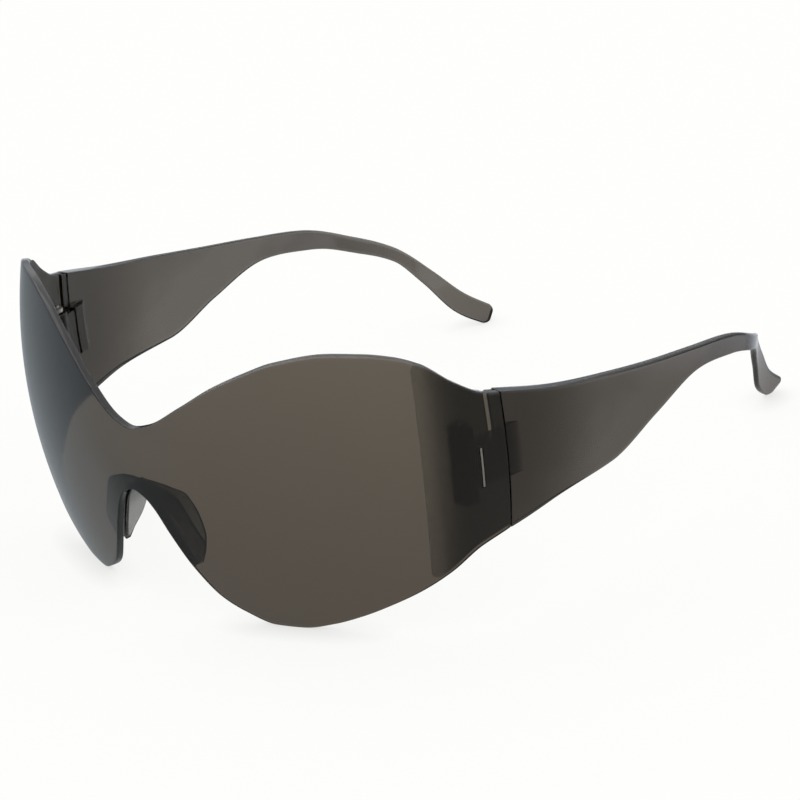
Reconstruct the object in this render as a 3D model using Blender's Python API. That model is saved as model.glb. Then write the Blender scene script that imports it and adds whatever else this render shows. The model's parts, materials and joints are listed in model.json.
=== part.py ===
"""Rimless wraparound sunglasses: one smoke-tinted shield lens, a nose saddle in its notch, an end piece
bonded inside each end of the lens, and two wide temples that fold inward on a hinge screw.

Every piece is placed on one curved outer surface, by its arc length from the middle of the lens, its height
and its depth inside the surface. Then the whole is tilted until the lens and both temple tips rest level."""

import math

import bpy
import numpy as np
from mathutils import Matrix, Vector

# Lens outline and curve, in metres and radians
LENS_HALF_ARC = 0.0901
LENS_WRAP = math.radians(80)
LENS_THICKNESS = 0.0018
BOW_RADIUS = 0.135
BOW_HEIGHT = 0.0374
BRIDGE_TOP = 0.0479
LOBE_TOP = 0.0682
LOBE_TOP_ARC = 0.0500
LOBE_BOTTOM_ARC = 0.0370
SEAM_TOP = 0.0531
SEAM_BOTTOM = 0.0195
NOTCH_TOP = 0.0331
RIDGE_HEIGHT = 0.0012
RIDGE_ARC = 0.0120

# Temples
TEMPLE_TOP_ARC = 0.1390
TEMPLE_BOTTOM_ARC = 0.1350
TEMPLE_TURN = math.radians(35)
TEMPLE_FRONT_THICKNESS = 0.0031
TEMPLE_WIDE_THICKNESS = 0.0022
HOOK_THICKNESS = 0.0022
TIP_THICKNESS = 0.0014
TIP_DROP = 0.0303
TIP_HEIGHT = 0.0035
TIP_ROUNDING = 0.0013

# Gaps between pieces
SEAM_GAP = 0.0003
TOUCH_GAP = 0.0003
TAB_GAP = 0.0002

# Hinges: knuckles, screw and steel tab
HINGE_SETBACK = 0.0092
HINGE_HEIGHT = 0.0376
KNUCKLE_RADIUS = 0.0022
TONGUE_HEIGHT = 0.0115
TONGUE_THICKNESS = 0.0012
TONGUE_ROOT = 0.0015
BOSS_LENGTH = 0.0070
BOSS_MARGIN = 0.0003
KNUCKLE_HEIGHT = 0.0030
KNUCKLE_NECK_SHARE = 0.8
PIN_RADIUS = 0.0007
PIN_CLEARANCE = 0.0003
SCREW_HEAD_RADIUS = 0.0014
SCREW_HEAD_HEIGHT = 0.0009
SCREW_SLOT_WIDTH = 0.0004
TAB_SETBACK = 0.0070
TAB_HEIGHT = 0.0095
TAB_THICKNESS = 0.0005

# End pieces
END_PIECE_LENGTH = 0.0165
END_PIECE_THICKNESS = 0.0009
END_PIECE_FRONT_THICKNESS = 0.0002
END_PIECE_INSET = 0.0006
END_PIECE_CORNER = 0.0030
END_RELIEF_SETBACK = 0.0036
END_RELIEF_WIDTH = 0.0016
END_RELIEF_HEIGHT = 0.0100

# Nose saddle
FLANGE_WIDTH = 0.0062
FLANGE_LIP = 0.0004
FLANGE_THICKNESS = 0.0008
SADDLE_BOTTOM = 0.0150
PAD_DEPTH = 0.0071
PAD_THICKNESS = 0.0012
PAD_SLIDE = 0.0005
PAD_FLARE = 0.0016

# Cuts run past the surface that they cut by this much
OVERRUN = 0.0010

# How each curve runs between its named sizes, as shares of them
LENS_BEND_SHARES = ((0.0, 0.56), (0.26, 0.29), (0.53, 0.25), (0.79, 1.03), (1.0, 0.285))
TOP_RISE_SHARES = ((0, 0), (0.09, 0.056), (0.27, 0.319), (0.44, 0.582), (0.60, 0.77), (0.75, 0.905), (1, 1))
TOP_FALL_SHARES = ((0, 0), (0.20, 0.022), (0.37, 0.093), (0.55, 0.273), (0.72, 0.615), (0.90, 0.918), (1, 1))
NOTCH_FALL_SHARES = (
    (0, 0),
    (0.08, 0.04),
    (0.14, 0.12),
    (0.22, 0.305),
    (0.33, 0.55),
    (0.48, 0.785),
    (0.63, 0.902),
    (0.81, 0.99),
    (1, 1),
)
BOTTOM_RISE_SHARES = (
    (0, 0),
    (0.14, 0.075),
    (0.28, 0.204),
    (0.42, 0.363),
    (0.56, 0.525),
    (0.70, 0.706),
    (0.85, 0.921),
    (1, 1),
)
TEMPLE_TURN_SHARES = (
    (0, 0),
    (0.14, 0.22),
    (0.28, 0.305),
    (0.42, 0.365),
    (0.56, 0.425),
    (0.66, 0.45),
    (0.73, 0.90),
    (0.80, 1.21),
    (0.87, 0.74),
    (0.94, 0.48),
    (1, 0.13),
)
TEMPLE_TOP_FALL_SHARES = (
    (0, 0),
    (0.125, 0.09),
    (0.25, 0.161),
    (0.375, 0.232),
    (0.50, 0.298),
    (0.625, 0.37),
    (0.73, 0.475),
    (0.82, 0.576),
    (0.89, 0.738),
    (0.945, 0.884),
    (1, 1),
)
TEMPLE_BOTTOM_FALL_SHARES = (
    (0, 0),
    (0.13, -0.046),
    (0.26, -0.03),
    (0.39, -0.17),
    (0.52, -0.286),
    (0.65, -0.18),
    (0.76, 0.004),
    (0.84, 0.164),
    (0.89, 0.44),
    (0.94, 0.766),
    (1, 1),
)
TEMPLE_THICKNESS_SHARES = (0, 0.03, 0.25, 0.50, 0.75, 0.92, 1)
TEMPLE_ROUNDING_SHARES = ((0, 0.08), (0.03, 0.08), (0.33, 0.45), (1, 0.45))
BOSS_RISE_SHARES = ((0, 1), (0.45, 1), (1, 0))
BOSS_BURIED_SHARE = 0.3
END_PIECE_GROWTH_SHARES = ((0, 0), (0.4, 0.6), (0.7, 1), (1, 1))
FLANGE_WIDTH_SHARES = ((0, 0.38), (0.15, 0.62), (0.32, 1), (0.80, 1), (0.93, 0.6), (1, 0.16))
PAD_DEPTH_SHARES = ((0, 0.20), (0.15, 0.62), (0.35, 1.0), (0.55, 0.94), (0.75, 0.76), (0.90, 0.42), (1, 0.12))
PAD_SLIDE_SHARES = ((0, 0), (0.15, 1), (1, 1))
PAD_FLARE_SHARES = ((0, 0.1), (0.15, -0.1), (0.35, 0.47), (0.55, 1), (0.75, 1), (0.90, 0.7), (1, 0))

# An edge sharper than this is shaded as an edge, and the glasses rest within this tilt either way
SHARP_ANGLE = math.radians(35)
STEEPEST_TILT = math.radians(30)

# How finely the curved pieces are divided
PLAN_STEPS = 800
LENS_COLUMN_STEP = 0.0022
NOTCH_COLUMN_STEP = 0.0010
NOTCH_COLUMNS_SHARE = 0.7
LENS_ROWS = 8
TEMPLE_STATIONS = 56
TEMPLE_ROWS = 6
SADDLE_STATIONS = 48
ROUND_STEPS = 24
CORNER_STEPS = 3
END_PIECE_STATIONS = 12
END_PIECE_CROWDING = 1.6
TONGUE_STATIONS = 6
BLOCK_ROWS = 4


def smooth(points, at, level_start=False, level_end=False):
    """A smooth curve through the points that never overshoots between them, with level ends where asked."""
    x, y = np.array(points, float).T
    slopes = np.diff(y) / np.diff(x)
    steps = np.diff(x)
    tangents = np.zeros(len(x))
    for i in range(1, len(x) - 1):
        before, after = slopes[i - 1], slopes[i]
        if before * after > 0:
            near, far = 2 * steps[i] + steps[i - 1], steps[i] + 2 * steps[i - 1]
            tangents[i] = (near + far) / (near / before + far / after)
    tangents[0] = 0 if level_start else slopes[0]
    tangents[-1] = 0 if level_end else slopes[-1]
    at = np.clip(np.asarray(at, float), x[0], x[-1])
    i = np.clip(np.searchsorted(x, at, side="right") - 1, 0, len(x) - 2)
    t = (at - x[i]) / steps[i]
    start = y[i] * (1 + 2 * t) * (1 - t) ** 2 + tangents[i] * steps[i] * t * (1 - t) ** 2
    end = y[i + 1] * (3 - 2 * t) * t**2 + tangents[i + 1] * steps[i] * t**2 * (t - 1)
    return start + end


def running_sum(values, at):
    """The area under the values, from the first place up to each place."""
    return np.concatenate([[0], np.cumsum((values[1:] + values[:-1]) / 2 * np.diff(at))])


def plan_curve():
    """Arc lengths, places and headings of the outer surface, from the middle of the lens to past the tip."""
    lens_share = np.linspace(0, 1, PLAN_STEPS)
    bend = running_sum(smooth(LENS_BEND_SHARES, lens_share, level_start=True), lens_share)
    temple_share = np.linspace(0, 1, PLAN_STEPS)[1:]
    turn = smooth(TEMPLE_TURN_SHARES, temple_share)
    arc = np.concatenate([LENS_HALF_ARC * lens_share, LENS_HALF_ARC + TEMPLE_TOP_ARC * temple_share])
    heading = np.concatenate([LENS_WRAP * bend / bend[-1], LENS_WRAP + TEMPLE_TURN * turn])
    return arc, running_sum(np.cos(heading), arc), running_sum(np.sin(heading), arc), heading


ARC, ARC_X, ARC_Q, ARC_HEADING = plan_curve()


def bow(height):
    """How far the surface curves inward above and below the height where it stands furthest out."""
    return (height - BOW_HEIGHT) ** 2 / (2 * BOW_RADIUS)


def ridge(along, height):
    """How far the lens stands forward beside and below the bridge."""
    below = min(1, max(0, (BRIDGE_TOP - height) / (BRIDGE_TOP - NOTCH_TOP)))
    return RIDGE_HEIGHT * below**2 * (3 - 2 * below) * math.exp(-((along / RIDGE_ARC) ** 2))


def on_surface(arc, height, depth):
    """A point at a depth inside the outer surface. A negative arc lies on the left half."""
    along = abs(arc)
    heading = np.interp(along, ARC, ARC_HEADING)
    inward = depth + bow(height) - ridge(along, height)
    x = np.interp(along, ARC, ARC_X) - inward * math.sin(heading)
    q = np.interp(along, ARC, ARC_Q) + inward * math.cos(heading)
    return Vector((math.copysign(x, arc), q, height))


def lens_top(arc):
    """Height of the lens's top edge: up from the bridge to the lobe, then down to the seam."""
    rise = smooth(TOP_RISE_SHARES, arc / LOBE_TOP_ARC, level_start=True, level_end=True)
    fall = smooth(TOP_FALL_SHARES, (arc - LOBE_TOP_ARC) / (LENS_HALF_ARC - LOBE_TOP_ARC), level_start=True)
    return BRIDGE_TOP + (LOBE_TOP - BRIDGE_TOP) * rise - (LOBE_TOP - SEAM_TOP) * fall


def lens_bottom(arc):
    """Height of the lens's bottom edge: down the nose notch to the lobe, then up to the seam."""
    fall = smooth(NOTCH_FALL_SHARES, arc / LOBE_BOTTOM_ARC, level_start=True, level_end=True)
    beyond = (arc - LOBE_BOTTOM_ARC) / (LENS_HALF_ARC - LOBE_BOTTOM_ARC)
    rise = smooth(BOTTOM_RISE_SHARES, beyond, level_start=True)
    return NOTCH_TOP * (1 - fall) + SEAM_BOTTOM * rise


def material(name, colour, roughness, metallic=0.0, transmission=0.0):
    made = bpy.data.materials.new(name)
    made.use_nodes = True
    shader = made.node_tree.nodes["Principled BSDF"]
    shader.inputs["Base Color"].default_value = (*colour, 1)
    shader.inputs["Roughness"].default_value = roughness
    shader.inputs["Metallic"].default_value = metallic
    shader.inputs["Transmission Weight"].default_value = transmission
    return made


def new_object(name, points, faces, surface, parent):
    """An object whose points are in the glasses' frame, under the parent that carries it."""
    mesh = bpy.data.meshes.new(name)
    mesh.from_pydata([tuple(point) for point in points], [], faces)
    mesh.update()
    mesh.materials.append(surface)
    made = bpy.data.objects.new(name, mesh)
    bpy.context.scene.collection.objects.link(made)
    origin = parent.matrix_world.translation
    mesh.transform(Matrix.Translation(-origin))
    made.parent = parent
    mesh.shade_smooth()
    mesh.set_sharp_from_angle(angle=SHARP_ANGLE)
    return made


def loft(rings, flip=False):
    """Points and faces of a closed solid through rings of equal length, with both ends capped."""
    count = len(rings[0])
    points = [point for ring in rings for point in ring]
    faces = []
    for i in range(len(rings) - 1):
        for j in range(count):
            k = (j + 1) % count
            faces.append((i * count + j, i * count + k, (i + 1) * count + k, (i + 1) * count + j))
    faces.append(tuple(reversed(range(count))))
    faces.append(tuple(range((len(rings) - 1) * count, len(rings) * count)))
    if flip:
        faces = [tuple(reversed(face)) for face in faces]
    return points, faces


def turned(centre, profile):
    """Points and faces of a solid turned about an upright line, from (radius, height) pairs."""
    rings = []
    for radius, height in profile:
        angles = [2 * math.pi * step / ROUND_STEPS for step in range(ROUND_STEPS)]
        rings.append([centre + Vector((radius * math.cos(a), radius * math.sin(a), height)) for a in angles])
    return loft(rings)


def section(height, thickness, rounding, rows):
    """A rounded rectangle as (across, depth) pairs, anticlockwise: across from 0 to height, depth from 0."""
    corners = (
        (rounding, rounding, math.pi),
        (height - rounding, rounding, 1.5 * math.pi),
        (height - rounding, thickness - rounding, 0),
        (rounding, thickness - rounding, 0.5 * math.pi),
    )
    pairs = []
    for index, (across, depth, start) in enumerate(corners):
        for step in range(CORNER_STEPS + 1):
            angle = start + 0.5 * math.pi * step / CORNER_STEPS
            pairs.append((across + rounding * math.cos(angle), depth + rounding * math.sin(angle)))
        if index % 2 == 0:
            to_across, to_depth = corners[(index + 1) % 4][0], pairs[-1][1]
            from_across = across
            for row in range(1, rows):
                pairs.append((from_across + (to_across - from_across) * row / rows, to_depth))
    return pairs


def hide_tool(tool):
    tool.hide_render = True
    tool.display_type = "WIRE"


def combine(target, tool, operation):
    """Adds one Boolean to the target and hides its tool."""
    change = target.modifiers.new(f"{operation.lower()} {tool.name}", "BOOLEAN")
    change.operation = operation
    change.solver = "EXACT"
    change.object = tool
    hide_tool(tool)


class Hinge:
    """The frame of one hinge: back along the surface, inward from it, and up along the screw."""

    def __init__(self, side):
        self.side = side
        arc = LENS_HALF_ARC - HINGE_SETBACK
        heading = np.interp(arc, ARC, ARC_HEADING)
        self.arc = arc
        self.tongue_depth = LENS_THICKNESS + TOUCH_GAP + END_PIECE_THICKNESS + TOUCH_GAP
        ends = (HINGE_HEIGHT - TONGUE_HEIGHT / 2, HINGE_HEIGHT + TONGUE_HEIGHT / 2)
        self.depth = self.tongue_depth + KNUCKLE_RADIUS + max(bow(end) for end in ends) - bow(HINGE_HEIGHT)
        self.centre = on_surface(side * arc, HINGE_HEIGHT, self.depth)
        self.back = Vector((side * math.cos(heading), math.sin(heading), 0))
        self.inward = Vector((-side * math.sin(heading), math.cos(heading), 0))

    def place(self, back, inward, up):
        return self.centre + self.back * back + self.inward * inward + Vector((0, 0, up))

    def block(self, back, inward, up):
        """Points and faces of a box between two values along each of the hinge's three directions."""
        rings = [[self.place(b, i, u) for b, i in zip(back * 2, sorted(inward * 2))] for u in up]
        rings = [[ring[0], ring[1], ring[3], ring[2]] for ring in rings]
        return loft(rings, flip=self.side < 0)


def make_lens(parent, surface, hinges):
    """The shield lens: one column from the bottom edge to the top edge at each place along its arc."""
    near = np.arange(0, LOBE_BOTTOM_ARC * NOTCH_COLUMNS_SHARE, NOTCH_COLUMN_STEP)
    far_count = math.ceil((LENS_HALF_ARC - near[-1]) / LENS_COLUMN_STEP)
    half = np.concatenate([near, np.linspace(near[-1], LENS_HALF_ARC, far_count + 1)[1:]])
    arcs = np.concatenate([-half[:0:-1], half])
    rings = []
    for arc in arcs:
        bottom, top = lens_bottom(abs(arc)), lens_top(abs(arc))
        heights = [bottom + (top - bottom) * row / LENS_ROWS for row in range(LENS_ROWS + 1)]
        outer = [on_surface(arc, height, 0) for height in heights]
        inner = [on_surface(arc, height, LENS_THICKNESS) for height in reversed(heights)]
        rings.append(outer + inner)
    lens = new_object("shield_lens", *loft(rings, flip=True), surface, parent)
    for hinge in hinges:
        combine(lens, tab_cutter("lens_slot", hinge, surface, parent), "DIFFERENCE")
    return lens


def curved_block(side, arcs, heights, depths, stations):
    """Points and faces of a block that follows the outer surface, between two arcs, heights and depths."""
    low, high = heights
    rings = []
    for step in range(stations + 1):
        arc = side * (arcs[0] + (arcs[1] - arcs[0]) * step / stations)
        levels = [low + (high - low) * row / BLOCK_ROWS for row in range(BLOCK_ROWS + 1)]
        outer = [on_surface(arc, level, depths[0]) for level in levels]
        inner = [on_surface(arc, level, depths[1]) for level in reversed(levels)]
        rings.append(outer + inner)
    return loft(rings, flip=side > 0)


def tab_shape(hinge, margin, outer, inner):
    """The hinge's steel tab between two depths, grown by a margin along and up the surface."""
    middle = LENS_HALF_ARC - TAB_SETBACK
    half_width, half_height = TAB_THICKNESS / 2 + margin, TAB_HEIGHT / 2 + margin
    arcs = (middle - half_width, middle + half_width)
    heights = (HINGE_HEIGHT - half_height, HINGE_HEIGHT + half_height)
    return curved_block(hinge.side, arcs, heights, (outer, inner), 1)


def tab_cutter(name, hinge, surface, parent):
    shape = tab_shape(hinge, TAB_GAP, -OVERRUN, hinge.tongue_depth + OVERRUN)
    return new_object(name, *shape, surface, parent)


def make_tab(name, hinge, surface, parent):
    """The steel tab that locks the lens to the end piece, flush with the lens's face."""
    shape = tab_shape(hinge, 0, 0, hinge.tongue_depth - TOUCH_GAP)
    return new_object(name, *shape, surface, parent)


def relief_cutter(name, hinge, surface, parent):
    """Cuts a narrow slit down from the plate's top edge near the seam, where light comes through."""
    front = LENS_HALF_ARC - END_RELIEF_SETBACK
    arcs = (front, front + END_RELIEF_WIDTH)
    heights = (SEAM_TOP - END_RELIEF_HEIGHT, SEAM_TOP + OVERRUN)
    depths = (LENS_THICKNESS + TOUCH_GAP / 2, hinge.tongue_depth + OVERRUN)
    shape = curved_block(hinge.side, arcs, heights, depths, 1)
    return new_object(name, *shape, surface, parent)


def make_end_piece(name, hinge, surface, parent):
    """The plate bonded inside the lens's end, with the two fixed knuckles of the hinge."""
    rings = []
    for step in range(END_PIECE_STATIONS + 1):
        share = (step / END_PIECE_STATIONS) ** END_PIECE_CROWDING
        arc = LENS_HALF_ARC - END_PIECE_LENGTH * (1 - share)
        turn = max(0, 1 - share * END_PIECE_LENGTH / END_PIECE_CORNER)
        corner = END_PIECE_CORNER * (1 - math.sqrt(1 - turn**2))
        bottom = lens_bottom(arc) + END_PIECE_INSET + corner
        top = lens_top(arc) - END_PIECE_INSET - corner
        grown = float(smooth(END_PIECE_GROWTH_SHARES, share))
        thickness = END_PIECE_FRONT_THICKNESS + (END_PIECE_THICKNESS - END_PIECE_FRONT_THICKNESS) * grown
        outer = LENS_THICKNESS + TOUCH_GAP
        heights = [bottom + (top - bottom) * row / LENS_ROWS for row in range(LENS_ROWS + 1)]
        face = [on_surface(hinge.side * arc, height, outer) for height in heights]
        back = [on_surface(hinge.side * arc, height, outer + thickness) for height in reversed(heights)]
        rings.append(face + back)
    piece = new_object(name, *loft(rings, flip=hinge.side > 0), surface, parent)
    plate_middle = hinge.tongue_depth - TOUCH_GAP - END_PIECE_THICKNESS / 2 - hinge.depth
    for place, lower in (("upper", 1), ("lower", -1)):
        near = TONGUE_HEIGHT / 2 + TOUCH_GAP
        spans = sorted((lower * near, lower * (near + KNUCKLE_HEIGHT)))
        barrel = turned(hinge.centre, [(KNUCKLE_RADIUS, spans[0]), (KNUCKLE_RADIUS, spans[1])])
        combine(piece, new_object(f"{name}_{place}_barrel", *barrel, surface, parent), "UNION")
        half = KNUCKLE_RADIUS * KNUCKLE_NECK_SHARE
        neck = hinge.block((-half, half), (plate_middle, 0), tuple(spans))
        combine(piece, new_object(f"{name}_{place}_neck", *neck, surface, parent), "UNION")
    combine(piece, pin_cutter(f"{name}_bore", hinge, surface, parent), "DIFFERENCE")
    combine(piece, tab_cutter(f"{name}_slot", hinge, surface, parent), "DIFFERENCE")
    combine(piece, relief_cutter(f"{name}_relief", hinge, surface, parent), "DIFFERENCE")
    return piece


def hinge_half_height():
    """From the middle of the hinge to the outer end of a fixed knuckle."""
    return TONGUE_HEIGHT / 2 + TOUCH_GAP + KNUCKLE_HEIGHT


def pin_cutter(name, hinge, surface, parent):
    reach = hinge_half_height() + OVERRUN
    radius = PIN_RADIUS + PIN_CLEARANCE
    return new_object(name, *turned(hinge.centre, [(radius, -reach), (radius, reach)]), surface, parent)


def make_screw(name, hinge, surface, parent):
    """The hinge screw, with its slotted head on the upper knuckle."""
    seat = hinge_half_height() + TOUCH_GAP
    profile = [
        (PIN_RADIUS, -hinge_half_height()),
        (PIN_RADIUS, seat),
        (SCREW_HEAD_RADIUS, seat),
        (SCREW_HEAD_RADIUS, seat + SCREW_HEAD_HEIGHT),
    ]
    screw = new_object(name, *turned(hinge.centre, profile), surface, parent)
    half = SCREW_SLOT_WIDTH / 2
    reach = SCREW_HEAD_RADIUS + OVERRUN
    up = (seat + SCREW_HEAD_HEIGHT / 2, seat + SCREW_HEAD_HEIGHT + OVERRUN)
    slot = hinge.block((-reach, reach), (-half, half), up)
    combine(screw, new_object(f"{name}_slot", *slot, surface, parent), "DIFFERENCE")
    return screw


def temple_rails(share):
    """The top and bottom edges of a temple at a share of its length, as (arc behind the seam, height)."""
    tip_bottom = SEAM_BOTTOM - TIP_DROP
    tip_top = tip_bottom + TIP_HEIGHT
    top = SEAM_TOP - (SEAM_TOP - tip_top) * smooth(TEMPLE_TOP_FALL_SHARES, share)
    bottom = SEAM_BOTTOM - TIP_DROP * smooth(TEMPLE_BOTTOM_FALL_SHARES, share)
    return (SEAM_GAP + share * TEMPLE_TOP_ARC, top), (SEAM_GAP + share * TEMPLE_BOTTOM_ARC, bottom)


def temple_shares():
    """Even steps along a temple, then closer ones through the rounding of its tip."""
    straight = 1 - TIP_ROUNDING / TEMPLE_TOP_ARC
    even = [straight * station / TEMPLE_STATIONS for station in range(TEMPLE_STATIONS)]
    turns = [math.sin(0.5 * math.pi * step / CORNER_STEPS) for step in range(CORNER_STEPS + 1)]
    return even + [straight + (1 - straight) * turn for turn in turns]


def temple_thickness(share):
    """Thick at the seam, thinner along the wide part and the hook, thinnest in the tip."""
    front, wide, hook, tip = TEMPLE_FRONT_THICKNESS, TEMPLE_WIDE_THICKNESS, HOOK_THICKNESS, TIP_THICKNESS
    sizes = (front, front, wide, wide, hook, tip, tip)
    return float(smooth(list(zip(TEMPLE_THICKNESS_SHARES, sizes)), share))


def temple_rings(side):
    rings = []
    for share in temple_shares():
        (top_arc, top), (bottom_arc, bottom) = temple_rails(share)
        thickness = temple_thickness(share)
        rounding = thickness * float(smooth(TEMPLE_ROUNDING_SHARES, share))
        height = math.hypot(top_arc - bottom_arc, top - bottom)
        end = min(1, max(0, 1 - (1 - share) * TEMPLE_TOP_ARC / TIP_ROUNDING))
        shrink = TIP_ROUNDING * (1 - math.sqrt(1 - end**2)) / height
        ring = []
        for across, depth in section(height, thickness, rounding, TEMPLE_ROWS):
            reach = shrink + (1 - 2 * shrink) * across / height
            arc = bottom_arc + (top_arc - bottom_arc) * reach
            ring.append(on_surface(side * (LENS_HALF_ARC + arc), bottom + (top - bottom) * reach, depth))
        rings.append(ring)
    return rings


def boss_rings(hinge):
    """The thick place behind the seam that carries the tongue, sloping down into the temple's wall."""
    outer = TEMPLE_FRONT_THICKNESS * BOSS_BURIED_SHARE
    buried = TEMPLE_FRONT_THICKNESS - outer
    proud = hinge.tongue_depth + TONGUE_THICKNESS + BOSS_MARGIN
    half = TONGUE_HEIGHT / 2 + BOSS_MARGIN
    rings = []
    for along, rise in BOSS_RISE_SHARES:
        arc = hinge.side * (LENS_HALF_ARC + SEAM_GAP + BOSS_LENGTH * along)
        inner = buried + (proud - buried) * rise
        levels = [HINGE_HEIGHT - half + 2 * half * row / BLOCK_ROWS for row in range(BLOCK_ROWS + 1)]
        front = [on_surface(arc, level, outer) for level in levels]
        back = [on_surface(arc, level, inner) for level in reversed(levels)]
        rings.append(front + back)
    return rings


def make_temple(name, hinge, surface, parent):
    """A temple with the boss, the tongue and the barrel of its hinge in one moulding."""
    side = hinge.side
    temple = new_object(name, *loft(temple_rings(side), flip=side > 0), surface, parent)
    boss = loft(boss_rings(hinge), flip=side > 0)
    combine(temple, new_object(f"{name}_boss", *boss, surface, parent), "UNION")
    arcs = (hinge.arc, LENS_HALF_ARC + SEAM_GAP + TONGUE_ROOT)
    heights = (HINGE_HEIGHT - TONGUE_HEIGHT / 2, HINGE_HEIGHT + TONGUE_HEIGHT / 2)
    depths = (hinge.tongue_depth, hinge.tongue_depth + TONGUE_THICKNESS)
    strip = curved_block(side, arcs, heights, depths, TONGUE_STATIONS)
    tongue = new_object(f"{name}_tongue", *strip, surface, parent)
    combine(temple, tongue, "UNION")
    half = TONGUE_HEIGHT / 2
    barrel = turned(hinge.centre, [(KNUCKLE_RADIUS, -half), (KNUCKLE_RADIUS, half)])
    combine(temple, new_object(f"{name}_barrel", *barrel, surface, parent), "UNION")
    combine(temple, pin_cutter(f"{name}_bore", hinge, surface, parent), "DIFFERENCE")
    return temple


def notch_edge():
    """Places along the right half of the notch, from its top to the end of the saddle, evenly spaced."""
    arcs = np.linspace(0, LOBE_BOTTOM_ARC, PLAN_STEPS)
    heights = lens_bottom(arcs)
    kept = heights >= SADDLE_BOTTOM
    arcs, heights = arcs[kept], heights[kept]
    length = np.concatenate([[0], np.cumsum(np.hypot(np.diff(arcs), np.diff(heights)))])
    even = np.linspace(0, length[-1], SADDLE_STATIONS // 2 + 1)
    return np.interp(even, length, arcs), np.interp(even, length, heights)


def make_saddle(parent, surface):
    """The nose saddle: a flange behind the edge of the notch, with a pad that flares back on each side."""
    arcs, heights = notch_edge()
    along = np.stack([np.gradient(arcs), np.gradient(heights)], 1)
    along /= np.linalg.norm(along, axis=1)[:, None]
    along[0] = (1, 0)
    front = LENS_THICKNESS + TOUCH_GAP
    back = front + FLANGE_THICKNESS
    half = []
    for i in range(len(arcs)):
        share = i / (len(arcs) - 1)
        width = FLANGE_WIDTH * float(smooth(FLANGE_WIDTH_SHARES, share))
        slide = PAD_SLIDE * float(smooth(PAD_SLIDE_SHARES, share))
        flare = PAD_FLARE * float(smooth(PAD_FLARE_SHARES, share))
        rim = back + PAD_DEPTH * float(smooth(PAD_DEPTH_SHARES, share))
        outline = (
            (-FLANGE_LIP, 0, front),
            (width, 0, front),
            (width, 0, back),
            (PAD_THICKNESS - FLANGE_LIP, 0, back),
            (flare + PAD_THICKNESS, slide, rim),
            (flare, slide, rim),
        )
        ring = []
        for out, down, depth in outline:
            arc = arcs[i] - along[i][1] * out + along[i][0] * down
            height = heights[i] + along[i][0] * out + along[i][1] * down
            ring.append((arc, height, depth))
        half.append(ring)
    left = [[(-arc, height, depth) for arc, height, depth in ring] for ring in half[:0:-1]]
    rings = [[on_surface(*place) for place in ring] for ring in left + half]
    return new_object("nose_saddle", *loft(rings, flip=True), surface, parent)


def make_empty(name, parent, place):
    made = bpy.data.objects.new(name, None)
    bpy.context.scene.collection.objects.link(made)
    made.parent = parent
    made.location = place
    bpy.context.view_layer.update()
    return made


def resting_points(made):
    return np.array([made.matrix_world @ vertex.co for vertex in made.data.vertices])


def resting_tilt(lens, temple):
    """The tilt about X at which the lens and the temple tips come down to the same level."""
    front, rear = resting_points(lens), resting_points(temple)
    low, high = -STEEPEST_TILT, STEEPEST_TILT
    for _ in range(50):
        tilt = (low + high) / 2
        down = np.array([0, math.sin(tilt), math.cos(tilt)])
        if (rear @ down).min() > (front @ down).min():
            high = tilt
        else:
            low = tilt
    return tilt


def main():
    for old in list(bpy.data.objects):
        bpy.data.objects.remove(old)
    smoke = material("smoke lens", (0.10, 0.09, 0.08), 0.05, transmission=0.8)
    dark_smoke = material("dark smoke moulding", (0.06, 0.06, 0.06), 0.15, transmission=0.6)
    frame_smoke = material("smoke temple", (0.09, 0.085, 0.08), 0.12, transmission=0.6)
    steel = material("steel", (0.75, 0.74, 0.72), 0.2, metallic=1.0)

    glasses = make_empty("glasses", None, (0, 0, 0))
    hinges = {"right": Hinge(1), "left": Hinge(-1)}
    lens = make_lens(glasses, smoke, hinges.values())
    make_saddle(glasses, dark_smoke)
    temples = []
    for side, hinge in hinges.items():
        axis = make_empty(f"{side}_hinge_axis", glasses, hinge.centre)
        temples.append(make_temple(f"{side}_temple", hinge, frame_smoke, axis))
        make_end_piece(f"{side}_end_piece", hinge, dark_smoke, glasses)
        make_tab(f"{side}_hinge_tab", hinge, steel, glasses)
        make_screw(f"{side}_hinge_screw", hinge, steel, glasses)

    glasses.rotation_euler.x = resting_tilt(lens, temples[0])
    bpy.context.view_layer.update()
    corners = np.concatenate([resting_points(made) for made in [lens, *temples]])
    low, high = corners.min(axis=0), corners.max(axis=0)
    glasses.location = (-(low[0] + high[0]) / 2, -(low[1] + high[1]) / 2, -low[2])
    bpy.context.view_layer.update()
    for side in hinges:
        axis = bpy.data.objects[f"{side}_hinge_axis"]
        up = axis.matrix_world.to_3x3() @ Vector((0, 0, 1))
        print(side, "hinge at", [round(v, 6) for v in axis.matrix_world.translation], "up", [round(v, 6) for v in up])


main()
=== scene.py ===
# %% [markdown]
# # Wraparound sunglasses
#
# These rimless sunglasses have one curved shield of smoke-tinted plastic, a nose saddle in its notch, a
# dark end piece bonded inside each end, two wide temples of the same tinted plastic, and a few small steel
# hinge parts. The imported solids say where everything is. This script gives each piece its fine curved skin,
# rounded edges and material, and then sets up a white studio and a camera at the photograph's angle.
#
# First the imported model is loaded.

import json
import math

import bpy
import numpy as np
from mathutils import Matrix, Vector


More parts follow.
